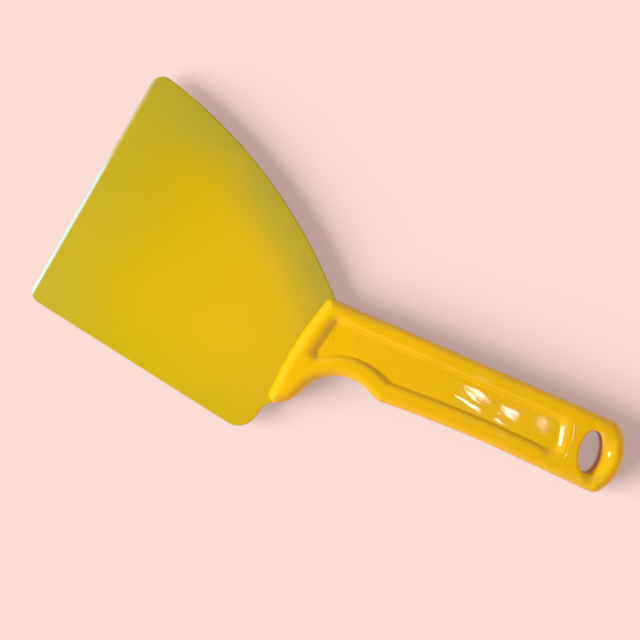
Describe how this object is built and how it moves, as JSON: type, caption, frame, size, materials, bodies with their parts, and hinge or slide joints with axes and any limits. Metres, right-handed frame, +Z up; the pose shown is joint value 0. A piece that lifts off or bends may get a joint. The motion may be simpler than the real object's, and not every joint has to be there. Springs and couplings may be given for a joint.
{
  "type": "flexible putty knife",
  "caption": "Wide flexible plastic putty knife blade with one curved side, held in a slim canted plastic handle with a lug, finger notch and hanging hole.",
  "frame": {"origin": "middle of the knife's footprint, on the flat lower face of the handle that it lies on", "axes": "+X from the working edge towards the hanging end, +Y towards the curved side of the blade, +Z up through the thickness"},
  "size_m": [0.2308, 0.104, 0.014],
  "materials": {
    "handle_plastic": "glossy moulded amber yellow",
    "blade_plastic": "satin moulded yellow, slightly translucent"
  },
  "bodies": {
    "handle": {"handle": "handle_plastic", "blade_tang": "blade_plastic"},
    "blade": {"blade": "blade_plastic"}
  },
  "joints": [
    {"name": "blade_flex", "type": "hinge", "parent": "handle", "child": "blade", "pos_m": [-0.03143, 0, 0.007], "axis": [0, 1, 0], "range_deg": [-20, 20], "stiffness_Nm_per_rad": 1}
  ]
}
